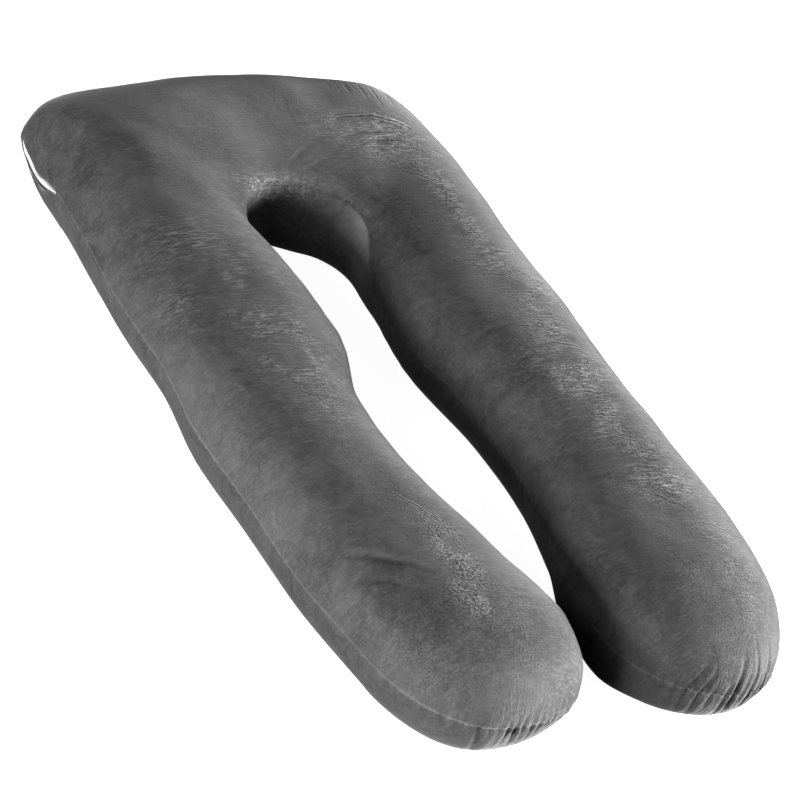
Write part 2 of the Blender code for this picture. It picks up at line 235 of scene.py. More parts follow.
# Creases in the upper panel: the ends in plan, how far the middle bows to the left of the line
# from the first end to the second, and the width and depth of the furrow, in mm.
Crease = namedtuple("Crease", "x0 y0 x1 y1 bow width depth")
CREASES = in_metres(Crease, 4, (
    # crescents where the right leg turns into the head
    (134, 511, 293, 486, 26, 6, 5),
    (123, 462, 279, 461, 20, 5, 3.6),
    (139, 440, 275, 445, 16, 4, 3.2),
    (170, 424, 285, 430, 14, 5, 2),
    (277, 434, 324, 404, 9, 4, 1.5),
    (199, 381, 270, 341, 9, 5, 0.8),
    # down the head's far edge and its right corner
    (89, 593, 66, 486, -6, 9, 0.28),
    (64, 623, 50, 531, 2, 8, 0.2),
    (287, 624, 267, 556, -2, 4, 0.8),
    (262, 630, 247, 572, 2, 4, 0.7),
    (238, 632, 224, 584, -2, 4, 0.7),
    (206, 640, 190, 598, 2, 4, 0.5),
    (328, 606, 314, 548, 2, 4, 0.9),
    (343, 590, 333, 540, -2, 4, 0.8),
    (306, 618, 294, 552, 2, 4, 0.9),
    (275, 627, 258, 572, 2, 3, 0.6),
    (222, 637, 205, 580, -2, 3, 0.6),
    (318, 612, 305, 566, -2, 3, 0.7),
    (250, 633, 238, 592, 1, 3, 0.5),
    # from the neck hole's edge
    (-105, 337, -22, 392, 12, 4, 0.9),
    (1, 410, 78, 457, 5, 8, 0.6),
    (15, 393, 112, 431, 2, 8, 0.6),
    # across the left leg, from the head down
    (-293, 269, -237, 261, 4, 4, 1),
    (-303, 237, -251, 231, 6, 4, 1),
    (-272, 214, -209, 223, 5, 4, 1.1),
    (-303, 209, -256, 199, 5, 4, 0.9),
    (-266, 194, -218, 186, 11, 4, 1),
    (-377, 94, -320, 126, 12, 8, 0.7),
    (-251, 87, -177, 74, 8, 4, 1.1),
    (-257, 48, -168, 43, 7, 4, 1.2),
    (-262, 15, -176, 6, 9, 4, 1),
    (-297, -7, -210, -20, 7, 4, 1.2),
    (-308, -29, -243, -29, 4, 4, 1),
    (-293, -88, -225, -83, 2, 4, 1.3),
    (-280, -105, -227, -151, 14, 5, 0.6),
    # the kinked line and the two broad folds below it
    (-236, -322, -180, -400, 7, 3.2, 1.3),
    (-351, -411, -236, -493, -1, 14, 1.5),
    (-353, -461, -275, -520, 5, 11, 0.9),
    # a short one above the left leg's end
    (-290, -645, -254, -662, 3, 4, 0.6),
    # across the right leg's inner side
    (114, -18, 198, -4, 10, 8, 0.8),
    (155, -78, 205, -60, 3, 5, 0.7),
    (129, -92, 197, -88, -9, 6, 0.7),
    (66, -459, 89, -463, -3, 4, 1),
    # across its outer side
    (190, -358, 262, -417, 2, 6, 0.7),
    (246, -445, 319, -476, 7, 4, 0.8),
    (230, -353, 309, -380, -11, 5, 0.7),
    (319, -393, 345, -397, -2, 4, 0.8),
    # along its crest, from the head down
    (224, 215, 281, 215, 13, 4, 1.1),
    (225, 164, 320, 173, 11, 4, 1.2),
    (176, 115, 265, 109, 11, 4, 1),
    (209, 59, 293, 55, 11, 4, 1),
    (230, 9, 300, 5, 7, 4, 1.1),
    (199, -51, 308, -60, 9, 4, 1.3),
    (198, -115, 299, -120, 12, 4, 1.3),
    (184, -161, 270, -175, 13, 4, 1.3),
    (178, -217, 270, -226, 14, 4, 1.2),
    (175, -263, 263, -277, 11, 4, 1.2),
    (177, -330, 274, -339, 15, 5, 1.1),
))

CREASE_LAYERS = 4
CREASE_LINE = 0.55           # half width of the painted shadow and highlight that the material draws along a crease, per crease width
CREASE_EDGE = (3.5, 5.0)     # where the line fades out, in such half widths
CREASE_REACH = 6.0           # how far from the line a layer tells the distance, in the same
CREASE_OVERRUN = 0.15        # and how far past the crease's ends, per length
DEEPEST_CREASE = 2.0         # mm: the depth whose painted shadow and highlight the material draws at full strength
CREASE_PRESS = 0.55          # the share of a crease's depth that the mesh itself takes
CREASE_FADE_POWER = 0.7
CREASE_WANDER = 1.2 * MM     # to each side of its line
CREASE_WAVES = 19            # in radians along its length
CREASE_PHASE = 900           # in radians per metre of x, so that no two wander alike

# Where the pile is crushed into fine wrinkles, and where it is pebbled, with painted glints on both
# where the pile catches the light: a place on the upper panel, its half lengths across and along the
# leg, and how strong it is.
Patch = namedtuple("Patch", "x y across along strength")
PATCH_POWER = 1.2            # how sharply a patch fades at its edge
PATCH_FALL = 20 * MM         # how far below the seam the patches reach
CRINKLED_AND_GLINTING = in_metres(Patch, 4, (
    (205, 478, 88, 56, 1.3),
    (262, 345, 26, 75, 1.1),
    (262, 240, 36, 45, 1),
    (262, 162, 60, 42, 0.9),
    (292, 100, 55, 45, 0.9),
    (262, 40, 35, 30, 0.55),
    (262, -14, 40, 37, 0.75),
    (252, -120, 76, 62, 1),
    (240, -217, 65, 43, 1),
    (255, -287, 51, 32, 0.65),
    (262, -358, 68, 37, 0.8),
    (280, -470, 50, 50, 0.35),
    (265, -560, 70, 70, 0.3),
    (-36, 380, 60, 16, 0.85),
    (-267, 232, 66, 45, 0.5),
    (-210, 148, 55, 55, 0.5),
    (-222, 34, 60, 52, 0.8),
    (-235, -55, 66, 62, 0.8),
    (-246, -155, 55, 66, 0.55),
    (-334, 112, 30, 40, 0.3),
    (-120, -670, 40, 50, 0.15),
    (-160, -560, 60, 50, 0.25),
))
# Where the pile is made light or dark, by how much: partly the brushed pile's own tone, partly painted
# light and painted shade where the form catches the light or falls in shade.
BRUSHED_AND_SHADED = in_metres(Patch, 4, (
    (-280, 490, 90, 110, -0.3),
    (200, 335, 55, 95, -1.15),
    (150, 170, 60, 120, -0.16),
    (-200, 180, 80, 80, -0.16),
    (-250, -120, 60, 90, -0.12),
    (-388, -70, 45, 120, 0.42),
    (-375, -260, 45, 110, 0.24),
    (-200, -452, 40, 62, 0.65),
    (-230, -545, 36, 40, 0.22),
    (-259, -640, 110, 55, 0.3),
    (-215, -700, 110, 30, 0.4),
    (-110, -660, 50, 50, -0.2),
    (-95, -470, 35, 100, 0.38),
    (-40, 490, 110, 100, 0.42),
    (215, 490, 85, 45, 0.45),
    (240, 560, 90, 40, 0.18),
    (264, -100, 55, 120, -0.58),
    (262, -300, 50, 70, -0.38),
    (-150, -678, 40, 30, -0.15),
))
NAP_TURNS = (-2 * MM, 2 * MM)    # from the lower panel to the upper one
LEFT_BAND_PAINTED_LIGHT = 0.62         # painted light on the lower panel at the leg ends
RIGHT_BAND_PAINTED_LIGHT = 0.28
CRESCENT_PAINTED_LIGHT = 2.0           # painted light: a lit crescent on the wall at the neck hole's right
CRESCENT_X = (0.02, 0.08)
CRESCENT_BELL_Y = (0.290, 0.050)
CRESCENT_TOP = (-4 * MM, 6 * MM)     # below the seam
CRESCENT_FOOT = (0.03, 0.10)
PEBBLED_AND_GLINTING = in_metres(Patch, 4, (
    (-192, -455, 28, 66, 2.6),
    (-218, -545, 32, 40, 1.8),
    (-36, 380, 60, 16, 0.7),
    (-240, -600, 130, 120, 0.28),
    (250, -560, 110, 130, 0.42),
    (250, -150, 90, 300, 0.4),
    (205, 478, 95, 60, 1.5),
    (-235, -20, 80, 160, 0.35),
))
LIT_BELL = (0.45, 0.26)      # the side that faces right and up, toward the key light, has a few wrinkles all along, with painted glints on them
LIT_CRINKLE = 0.22
RIGHT_HALF_X = (0.0, 0.12)   # where the crinkles have pebbles between them, with painted glints
FOLDED_BELL = (88, 42)       # the fine folds at a leg end, in degrees round it
FOLDED_CLIMB = 0.045
FOLDED_DROP = 0.055

# A painted highlight along the stitching: a pale line where the seam's edge catches the light.
SEAM_HIGHLIGHT_BELL = (1.8 * MM, 1.5 * MM)
SEAM_HIGHLIGHT_NECK = (0.0, 0.4)        # the painted highlight fades as the seam comes to the neck hole's edge, where it lies in shade
SEAM_HIGHLIGHT_END_GAIN = 1.2
SEAM_HIGHLIGHT_INSIDE_LOSS = 0.85       # on the right leg's inner side, which lies in shade
SEAM_HIGHLIGHT_INSIDE_Y = (-0.68, -0.62)

# Noise that moves the cover or breaks up its patches: bump widths in metres by axis, and a seed.
Noise = namedtuple("Noise", "cell seed")
BROAD = Noise((0.12, 0.16, 0.12), 3)
LUMPS = Noise((0.055, 0.06, 0.055), 4)
RIPPLE = Noise((0.075, 0.019, 0.075), 5)
RIPPLE_PATCHES = Noise((0.09, 0.09, 0.09), 6)
UNEVEN = Noise((0.030, 0.036, 0.05), 8)
CRINKLE_FOLDS = Noise((0.040, 0.0105, 0.035), 9)
BROAD_HEIGHT = 2.4           # mm
LUMP_HEIGHT = 1.1
BROAD_LOSS_BELOW = 0.65      # the lower panel is smoother
BROAD_FALL = (0, 0.03)
RIPPLE_HEIGHT = 0.55 * MM
RIPPLE_END_Y = (0.20, 0.42)  # only the legs have ripples
RIPPLE_BREAKS = (-0.2, 0.5)
CRINKLE_HEIGHT = 1.4 * MM
CRINKLE_BREAKS = (-1.0, 0.15)
PEBBLE_BREAKS = (-1.1, 0.2)
FULL_FOLD_SHADE = 2.5 * MM       # a fold of this depth gets the material's full painted shade; the raised shoulders beside it get a painted highlight
FOLD_SHADE_RANGE = (-0.5, 1.2)

# Beside the gap the cover is held, so that no fold closes it.
HELD_FROM_HALF = 0.3 * MM
HELD_COLUMNS = 15
HELD_HEIGHT = 22 * MM
HELD_SHARE = 0.75


def smooth(value, low, high):
    """0 up to low, 1 from high on, and a smooth climb in between."""
    t = np.clip((value - low) / (high - low), 0, 1)
    return t * t * (3 - 2 * t)


def bell(value, middle, spread):
    """1 at the middle, and falling smoothly to 0 on both sides."""
    return np.exp(-(((value - middle) / spread) ** 2))


# ---- the seam in plan ----


def spline_through(rows, steps):
    """A smooth curve through rows of numbers, with the given steps from each row to the next."""
    rows = np.asarray(rows, float)
    padded = np.vstack([2 * rows[0] - rows[1], rows, 2 * rows[-1] - rows[-2]])
    points = []
    for k, count in enumerate(steps):
        before, start, end, after = padded[k : k + 4]
        for t in np.arange(count) / count:
            points.append(
                0.5 * (2 * start + (end - before) * t
                       + (2 * before - 5 * start + 4 * end - after) * t**2
                       + (3 * start - before - 3 * end + after) * t**3)
            )
    points.append(rows[-1])
    return np.array(points)


def mirrored(section):
    return section._replace(outer_x=-section.outer_x, inner_x=-section.inner_x)


def along_the_u():
    """The outer outline, the inner one and the crest's height, from one leg end to the other."""
    sections = [mirrored(s) for s in LEFT_LEG] + [HEAD_MIDDLE] + RIGHT_LEG[::-1]
    steps = [round(FINENESS * s.steps) for s in LEFT_LEG + RIGHT_LEG[::-1]]
    curve = spline_through([s[:5] for s in sections], steps)
    return curve[:, 0:2], curve[:, 2:4], curve[:, 4]


def side_slope(side):
    """How far an outline leans across per metre along, where it meets the leg end."""
    along = side[1] - side[0]
    return along[0] / along[1]


def round_end(outer, inner, reach):
    """The outline round a leg end, from its outer side to its inner one, and its angles."""
    middle = (outer[0] + inner[0]) / 2
    half_width = (outer[0] - inner[0]) / 2
    angles = np.linspace(0, 180, END_POINTS + 2)[1:-1]
    across = np.cos(np.radians(angles))
    lean = np.where(across > 0, side_slope(outer), side_slope(inner)) * across**2
    across = np.sign(across) * np.abs(across) ** (2 / END_FULLNESS)
    toward_end = -reach * np.sin(np.radians(angles)) ** (2 / END_FULLNESS)
    points = middle + half_width * across[:, None]
    points[:, 0] += lean * toward_end
    points[:, 1] += toward_end
    return points, angles


def inside_share(angles):
    """How much a point round a leg end counts as the leg's inner side, from 0 to 1."""
    return smooth(angles, *INNER_ANGLES)


def left_hollow(seam, leg_middle):
    """How far the left leg's inner side draws in at each seam point."""
    x, y = seam.T
    on_inner_side = smooth(x - leg_middle, *HOLLOW_X) * (x < 0)
    return HOLLOW * on_inner_side * bell(y, *HOLLOW_BELL_Y)


SeamLoop = namedtuple("SeamLoop", "seam crest_line crest crown spine end angle along inside")


def seam_loop():
    """The seam all round the U, with what each of its points knows about its place."""
    outer, inner, crown = along_the_u()
    crest = (outer + inner) / 2
    last = len(outer) - 1
    left_points, angles = round_end(outer, inner, LEFT_END.reach)
    right_points, _ = round_end(outer[::-1], inner[::-1], RIGHT_END.reach)
    up_the_u = np.arange(last + 1)
    spine = np.concatenate([
        up_the_u,
        np.full(END_POINTS, last),
        up_the_u[::-1],
        np.full(END_POINTS, 0),
    ])
    sides = np.zeros(last + 1)
    ends = np.ones(END_POINTS)
    seam = np.vstack([outer, right_points, inner[::-1], left_points[::-1]])
    centre = (seam.min(axis=0) + seam.max(axis=0)) / 2
    seam[:, 0] -= left_hollow(seam, crest[0][0])
    step = np.linalg.norm(seam - np.roll(seam, 1, axis=0), axis=1)
    inside = inside_share(angles)
    return SeamLoop(
        seam=seam - centre,
        crest_line=crest - centre,
        crest=(crest - centre)[spine],
        crown=crown[spine],
        spine=spine,
        end=np.concatenate([sides, ends, sides, -ends]),
        angle=np.concatenate([sides, angles, sides, angles[::-1]]),
        along=np.cumsum(step),
        inside=np.concatenate([sides, inside, sides + 1, inside_share(angles[::-1])]),
    )


def neck_share(loop):
    """How much each seam point belongs to the neck hole's edge, from 0 to 1."""
    x, y = loop.seam.T
    return loop.inside * np.where(x > 0, smooth(y, *RIGHT_NECK_Y), smooth(y, *LEFT_NECK_Y))


def seam_heights(loop):
    heights = SEAM_HEIGHT + NECK_LIFT * neck_share(loop)
    for which, end in ((-1, LEFT_END), (1, RIGHT_END)):
        here = loop.end == which
        heights[here] -= end.sag * bell(loop.angle[here], end.sag_angle, end.sag_spread)
    x, y = loop.seam.T
    return heights - SLIT_SAG * bell(y, *SLIT_SAG_BELL_Y) * smooth(-x, *SLIT_SAG_X)


def belly_share(loop):
    """How much the right leg's lower panel bellies out at each seam point, from 0 to 1."""
    x, y = loop.seam.T
    toward_end = 1 - smooth(y, *BELLY_END_Y)
    share = (1 - smooth(y, *BELLY_Y)) * (1 - (1 - BELLY_END_SHARE) * toward_end)
    return share * loop.inside * (x > 0)


def end_share(loop):
    """How much each seam point belongs to the middle of a leg end, from 0 to 1."""
    return bell(loop.angle, *END_BELL) * (loop.end != 0)


def slit_half_width(loop):
    """Half the height of the gap in the seam at each seam point, and 0 where the seam is closed."""
    x, y = loop.seam.T
    t = (y - SLIT_START_Y) / (SLIT_END_Y - SLIT_START_Y)
    inside = (t > 0) & (t < 1) & (x < SLIT_OUTSIDE_X)
    leaf = np.sqrt(np.sin(math.pi * np.clip(t, 0, 1)))
    pinch = 1 - SLIT_PINCH_CLOSES * bell(t, *SLIT_PINCH_BELL)
    return np.where(inside, SLIT_HALF_WIDTH * leaf * pinch, 0.0)


# ---- the cover's grid before any fold is pressed into it ----


def top_fullness(loop):
    right = smooth(loop.seam[:, 0], *HALVES_X)
    return TOP_FULLNESS + (RIGHT_INSIDE_FULLNESS - TOP_FULLNESS) * right * loop.inside


def upper_rib(length, climb, power):
    """One upper rib from the seam to the crest, in steps of equal length: insets and heights."""
    a = np.linspace(0, math.pi / 2, RIB_SAMPLES)
    up = climb * np.sin(a) ** (2 / power)
    inset = length * (1 - np.cos(a) ** (2 / power))
    run = np.concatenate([[0], np.cumsum(np.hypot(np.diff(inset), np.diff(up)))])
    left = run[-1] - UPPER_START
    wanted = UPPER_START + left * np.arange(1, UPPER_STEPS) / UPPER_STEPS
    return np.interp(wanted, run, inset), np.interp(wanted, run, up)


def tuck(loop, heights, opened, z):
    """How far a row draws in beside the seam, so that the panels meet at an angle there.

    The head's corner beside the gap swells out, and so does the lower panel on the neck hole's right.
    """
    rise = z - heights
    at_end = end_share(loop)
    upper, lower = (side + (end - side) * at_end for side, end in (UPPER_TUCK, LOWER_TUCK))
    depth = np.where(rise > 0, upper, lower) * (1 - np.exp(-np.abs(rise) / TUCK_HEIGHT))
    proud = SEAM_PROUD * (1 - END_PROUD_LOSS * at_end)
    drawn = (depth - proud) * (1 - neck_share(loop)) * (1 - opened) * smooth(z, *FLOOR_FADE)
    x, y = loop.seam.T
    at_corner = smooth(-x, *CORNER_X)
    reach = np.where(rise > 0, CORNER_HEIGHT, CORNER_DROP)
    drawn -= CORNER_SWELL * bell(y, *CORNER_BELL_Y) * at_corner * bell(rise, 0, reach)
    under = bell(y, *UNDER_GAP_BELL_Y) * at_corner
    drawn += UNDER_GAP_TUCK * under * smooth(-rise, *UNDER_GAP_FALL) * smooth(z, *FLOOR_FADE)
    swell = NECK_SWELL * neck_share(loop) * smooth(x, *NECK_SWELL_X)
    below = np.clip(-rise / heights, 0, 1)
    return drawn - swell * np.sin(math.pi * below) ** NECK_SWELL_POWER


def rib_rows(loop, heights, half, length):
    """The inset and the height of each row of the grid, from the floor to below the crest."""
    opened = np.clip(half / SLIT_HALF_WIDTH / SLIT_FULL_FROM, 0, 1)
    rows = []
    neck = neck_share(loop)
    fullness = (ELLIPSE + (NECK_LOWER_FULLNESS - ELLIPSE) * neck
                + (END_LOWER_FULLNESS - ELLIPSE) * end_share(loop)
                + (BELLY_FULLNESS - ELLIPSE) * belly_share(loop))
    squareness = 2 / fullness
    for degrees in np.linspace(*LOWER_ANGLES, LOWER_STEPS):
        a = math.radians(degrees)
        rows.append((CONTACT_START * length * (1 - math.cos(a) ** squareness),
                     heights * (1 - math.sin(a) ** squareness)))
    heart = STITCH_DEPTH + (GAP_DEPTH - STITCH_DEPTH) * opened
    side = []
    for up in SEAM_ROWS:
        share = up / SEAM_ROWS[0]
        closed_in = STITCH_DEPTH * math.exp(-((up * MM / STITCH_WIDTH) ** 2))
        open_in = heart * (1 - share) ** GAP_WALL_POWER
        open_up = half + SLIT_FLARE * share
        side.append((
            closed_in + (open_in - closed_in) * opened,
            up * MM + (np.maximum(open_up, up * MM * share) - up * MM) * opened,
        ))
    rows += [(inset, heights - up) for inset, up in side]
    rows.append((heart, heights))
    rows += [(inset, heights + up) for inset, up in side[::-1]]
    climb = loop.crown - heights
    ribs = [upper_rib(*rib) for rib in zip(length, climb, top_fullness(loop))]
    for insets, ups in zip(*(np.array(part).T for part in zip(*ribs))):
        rows.append((insets, heights + ups))
    return [(inset + tuck(loop, heights, opened, z), z) for inset, z in rows]


def make_grid(loop):
    """Points by row and column, the floor's middle first and the crest last."""
    heights = seam_heights(loop)
    half = slit_half_width(loop)
    rib = loop.crest - loop.seam
    length = np.linalg.norm(rib, axis=1)
    inward = rib / length[:, None]
    grid = [np.column_stack([loop.crest, np.zeros(len(half))])]
    for inset, z in rib_rows(loop, heights, half, length):
        grid.append(np.column_stack([loop.seam + inward * np.asarray(inset)[..., None], z]))
    grid.append(np.column_stack([loop.crest, loop.crown]))
    return np.array(grid), heights, half, inward


def ring_faces(rings, columns):
    """Quads between rings of points."""
    faces = []
    for low in range(0, (rings - 1) * columns, columns):
        high = low + columns
        for k in range(columns):
            after = (k + 1) % columns
            faces.append((low + k, high + k, high + after, low + after))
    return faces


def grid_faces(rows, columns, spine):
    """Quads between rows. The first and last rows are the spine's points, shared by both sides."""
    inner_rows = rows - 2
    crest = inner_rows * columns
    floor = crest + spine.max() + 1
    faces = ring_faces(inner_rows, columns)
    top = crest - columns
    for k in range(columns):
        after = (k + 1) % columns
        here, there = int(spine[k]), int(spine[after])
        for row, middle, upper in ((top, crest, True), (0, floor, False)):
            ring = [row + k, middle + here, middle + there, row + after]
            if here == there:
                ring.pop(2)
            faces.append(ring if upper else ring[::-1])
    return faces


# ---- fields of noise ----

LATTICE = 32
LATTICE_SHIFT = 7.31         # keeps the middle of the pillow off a lattice point


def value_noise(points, cell, seed):
    """Smooth noise between -1 and 1 whose bumps are about cell metres wide, by axis."""
    lattice = np.random.default_rng(seed).uniform(-1, 1, (LATTICE, LATTICE, LATTICE))
    place = points / np.asarray(cell, float) + LATTICE_SHIFT
    corner = np.floor(place).astype(int)
    t = place - corner
    t = t * t * t * (t * (6 * t - 15) + 10)
    total = np.zeros(len(points))
    for step in np.ndindex(2, 2, 2):
        weight = np.where(step, t, 1 - t).prod(axis=1)
        total += weight * lattice[tuple(((corner + step) % LATTICE).T)]
    return total


# ---- folds, each as a depth to press in along the normal ----


def trough(across, width):
    """A furrow with a raised shoulder on each side: 1 at its middle, below 0 at the shoulders."""
    t = np.abs(across / width)
    return np.exp(-(t**FURROW_POWER)) - SHOULDER * bell(t, *SHOULDER_BELL)


def draw(rng, ranges):
    """One random value from each of the ranges of a tuple."""
    return ranges._make(rng.uniform(*span) for span in ranges)


def gather_press(loop, rise):
    """Depth of the leg ends' gathers at each grid point. rise is the height above the seam."""
    rng = np.random.default_rng(GATHER_SEED)
    press = np.zeros(rise.shape)
    for which, end, gathers in ((-1, LEFT_END, LEFT_GATHERS), (1, RIGHT_END, RIGHT_GATHERS)):
        rows = list(gathers)
        for angle in np.arange(*SMALL_GATHER_ANGLES):
            small = draw(rng, SMALL_GATHERS)
            rows.append(small._replace(angle=angle + small.angle,
                                       lean=gathers[0].lean + small.lean,
                                       sway=gathers[0].sway + small.sway))
        here = loop.end == which
        upper_share = LEFT_CLIMB_SHARE if which < 0 else 1.0
        arc = math.radians(1) * end.reach
        angle = np.where(here, loop.angle, ELSEWHERE)
        for g in rows:
            wander = GATHER_WANDER * np.sin(rise * GATHER_WAVES + g.angle)
            lean = np.where(rise >= 0, g.lean, g.sway)
            off = (angle[None, :] - g.angle) * arc - lean * rise + wander * np.abs(rise)
            reached = np.abs(rise) / (np.where(rise >= 0, g.climb, g.drop) * MM)
            share = 1 - (1 - upper_share) * smooth(rise, *SEAM_CROSSING)
            fade = np.clip(1 - reached, 0, 1) ** GATHER_FADE_POWER
            spread = g.width * MM * (1 + GATHER_WIDENS * reached)
            press += g.depth * MM * trough(off, spread) * fade * share * here
    return press


def pucker_press(loop, rise):
    """Depth of the small puckers that the stitching leaves all along the seam."""
    rng = np.random.default_rng(PUCKER_SEED)
    total = loop.along[-1]
    press = np.zeros(rise.shape)
    place = 0.0
    while place < total:
        p = draw(rng, PUCKERS)
        off = (loop.along - place + total / 2) % total - total / 2
        columns = np.flatnonzero(np.abs(off) < PUCKER_REACH)
        part = rise[:, columns]
        off = off[columns][None, :] - p.lean * part
        fade = np.clip(1 - np.abs(part) / (np.where(part >= 0, p.climb, p.drop) * MM), 0, 1)
        spread = p.width * MM * (1 + np.abs(part) / PUCKER_WIDENS)
        press[:, columns] += p.depth * MM * trough(off, spread) * fade
        place += rng.uniform(*PUCKER_SPACING) * MM
    return press


def crease_place(c, points):
    """How far along a crease each grid point lies, from 0 to 1, and how far off its line."""
    x, y = points[:, :, 0], points[:, :, 1]
    run = np.array([c.x1 - c.x0, c.y1 - c.y0])
    length = np.hypot(*run)
    run /= length
    t = ((x - c.x0) * run[0] + (y - c.y0) * run[1]) / length
    off = (y - c.y0) * run[0] - (x - c.x0) * run[1]
    off -= c.bow * MM * (1 - (2 * t - 1) ** 2)
    off += CREASE_WANDER * np.sin(t * CREASE_WAVES + c.x0 * CREASE_PHASE)
    return t, off


def crease_fade(t):
    return np.sin(math.pi * np.clip(t, 0, 1)) ** CREASE_FADE_POWER


def crease_press(points, rise):
    """Depth of the upper panel's creases at each grid point."""
    press = np.zeros(rise.shape)
    for c in CREASES:
        t, off = crease_place(c, points)
        near = (t > 0) & (t < 1) & (rise > 0)
        depth = CREASE_PRESS * c.depth * MM
        press[near] += depth * trough(off[near], c.width * MM) * crease_fade(t[near])
    return press


def crease_layers(points, rise):
    """What the velvet's material needs to draw each crease finer than the grid can hold it: a bump,
    with a painted shadow on one side and a painted highlight on the other.

    Neighbouring creases take turns on a few layers. A layer tells how far each grid point is from
    the middle of its crease, in half widths of its line, and how strong the crease is there.
    """
    across = np.full((CREASE_LAYERS,) + rise.shape, CREASE_REACH)
    strength = np.zeros_like(across)
    for number, c in enumerate(CREASES):
        layer = number % CREASE_LAYERS
        t, off = crease_place(c, points)
        off /= CREASE_LINE * c.width * MM
        near = (np.abs(off) < CREASE_REACH) & (rise > 0)
        near &= (t > -CREASE_OVERRUN) & (t < 1 + CREASE_OVERRUN)
        across[layer][near] = off[near]
        fade = crease_fade(t) * (1 - smooth(np.abs(off), *CREASE_EDGE))
        strength[layer][near] = (c.depth / DEEPEST_CREASE * fade)[near]
    return across, strength


def patch_shares(patches, points):
    """Each patch's strength at each grid point, whole at its middle and fading past its edge."""
    for p in patches:
        away = ((points[:, :, 0] - p.x) / p.across) ** 2 + ((points[:, :, 1] - p.y) / p.along) ** 2
        yield p.strength * np.exp(-(away**PATCH_POWER))


def strongest(patches, points, rise):
    """The strength of the strongest patch at each grid point, to a little below the seam."""
    return np.max(list(patch_shares(patches, points)), axis=0) * (rise > -PATCH_FALL)


# ---- the cover ----

loop = seam_loop()
grid, heights, half_gap, inward = make_grid(loop)
rows, columns = grid.shape[:2]


def grid_normals(grid):
    """Unit normals that point out of the pillow."""
    along = np.roll(grid, -1, axis=1) - np.roll(grid, 1, axis=1)
    up = np.empty_like(grid)
    up[1:-1] = grid[2:] - grid[:-2]
    up[0] = grid[1] - grid[0]
    up[-1] = grid[-1] - grid[-2]
    normal = np.cross(up, along)
    normal /= np.maximum(np.linalg.norm(normal, axis=2, keepdims=True), 1e-12)
    return normal


def field(noise):
    return value_noise(grid.reshape(-1, 3), *noise).reshape(rows, columns)


normals = grid_normals(grid)
normals[-1] = (0, 0, 1)
normals[0] = (0, 0, -1)
seam_x, seam_y = loop.seam.T
rise = grid[:, :, 2] - heights[None, :]
above = smooth(rise, *NAP_TURNS)

# where the pile is crushed or pebbled, with painted glints on both; its brushed tone with painted
# light and shade, and painted light on the leg ends' lower panel and the neck hole's crescent; the
# fine folds at the leg ends; and the painted highlight along the stitching
uneven = field(UNEVEN)
lit_side = bell(normals[:, :, 0], *LIT_BELL) * (rise > 0)
crinkle_and_glints = np.maximum(strongest(CRINKLED_AND_GLINTING, grid, rise), LIT_CRINKLE * lit_side)
crinkle_and_glints *= smooth(uneven, *CRINKLE_BREAKS)
pebble_and_glints = strongest(PEBBLED_AND_GLINTING, grid, rise) * smooth(uneven, *PEBBLE_BREAKS)
pebble_and_glints = np.maximum(pebble_and_glints, crinkle_and_glints * smooth(grid[:, :, 0], *RIGHT_HALF_X))
# painted light: a lit crescent on the neck hole's right wall, where light from the left falls
painted_lit_crescent = loop.inside * smooth(seam_x, *CRESCENT_X) * bell(seam_y, *CRESCENT_BELL_Y)
painted_lit_crescent = painted_lit_crescent * smooth(-rise, *CRESCENT_TOP) * (1 - smooth(-rise, *CRESCENT_FOOT))
# painted light on the lower panel at the leg ends
painted_band_light = np.where(loop.end > 0, RIGHT_BAND_PAINTED_LIGHT, LEFT_BAND_PAINTED_LIGHT) * end_share(loop)
nap_and_painted_light = sum(patch_shares(BRUSHED_AND_SHADED, grid)) * above + painted_band_light * (1 - above) + CRESCENT_PAINTED_LIGHT * painted_lit_crescent
fine_folds = bell(loop.angle, *FOLDED_BELL) * (loop.end != 0)
fine_folds = fine_folds * bell(rise, 0, np.where(rise > 0, FOLDED_CLIMB, FOLDED_DROP))
# a painted highlight along the stitching, fading where the seam lies in shade
lip = bell(rise, *SEAM_HIGHLIGHT_BELL) * (1 - smooth(neck_share(loop), *SEAM_HIGHLIGHT_NECK))
lip *= 1 + SEAM_HIGHLIGHT_END_GAIN * end_share(loop)
lip *= 1 - SEAM_HIGHLIGHT_INSIDE_LOSS * loop.inside * smooth(seam_y, *SEAM_HIGHLIGHT_INSIDE_Y) * (seam_x > 0)
crease_across, crease_strength = crease_layers(grid, rise)

# how far each grid point moves out along its normal
broad = (BROAD_HEIGHT * field(BROAD) + LUMP_HEIGHT * field(LUMPS)) * MM
broad *= 1 - BROAD_LOSS_BELOW * smooth(-rise, *BROAD_FALL)
ripples = field(RIPPLE) * (1 - smooth(grid[:, :, 1], *RIPPLE_END_Y))
ripples *= RIPPLE_HEIGHT * smooth(field(RIPPLE_PATCHES), *RIPPLE_BREAKS)
crinkles = CRINKLE_HEIGHT * field(CRINKLE_FOLDS) * crinkle_and_glints
press = gather_press(loop, rise) + pucker_press(loop, rise) + crease_press(grid, rise)
# painted shade in the folds' furrows, and a painted highlight on their shoulders
fold_shade = np.clip(press / FULL_FOLD_SHADE, *FOLD_SHADE_RANGE)
offset = (broad + ripples + crinkles - press) * smooth(grid[:, :, 2], *FLOOR_FADE)
offset[0] = 0
gap_near = np.tile(half_gap > HELD_FROM_HALF, 3)
gap_near = np.convolve(gap_near, np.ones(HELD_COLUMNS) / HELD_COLUMNS, "same")[columns:-columns]
offset *= 1 - HELD_SHARE * gap_near[None, :] * bell(rise, 0, HELD_HEIGHT)
shaped = grid + normals * offset[..., None]
shaped[:, :, 2] = np.maximum(shaped[:, :, 2], 0.0)


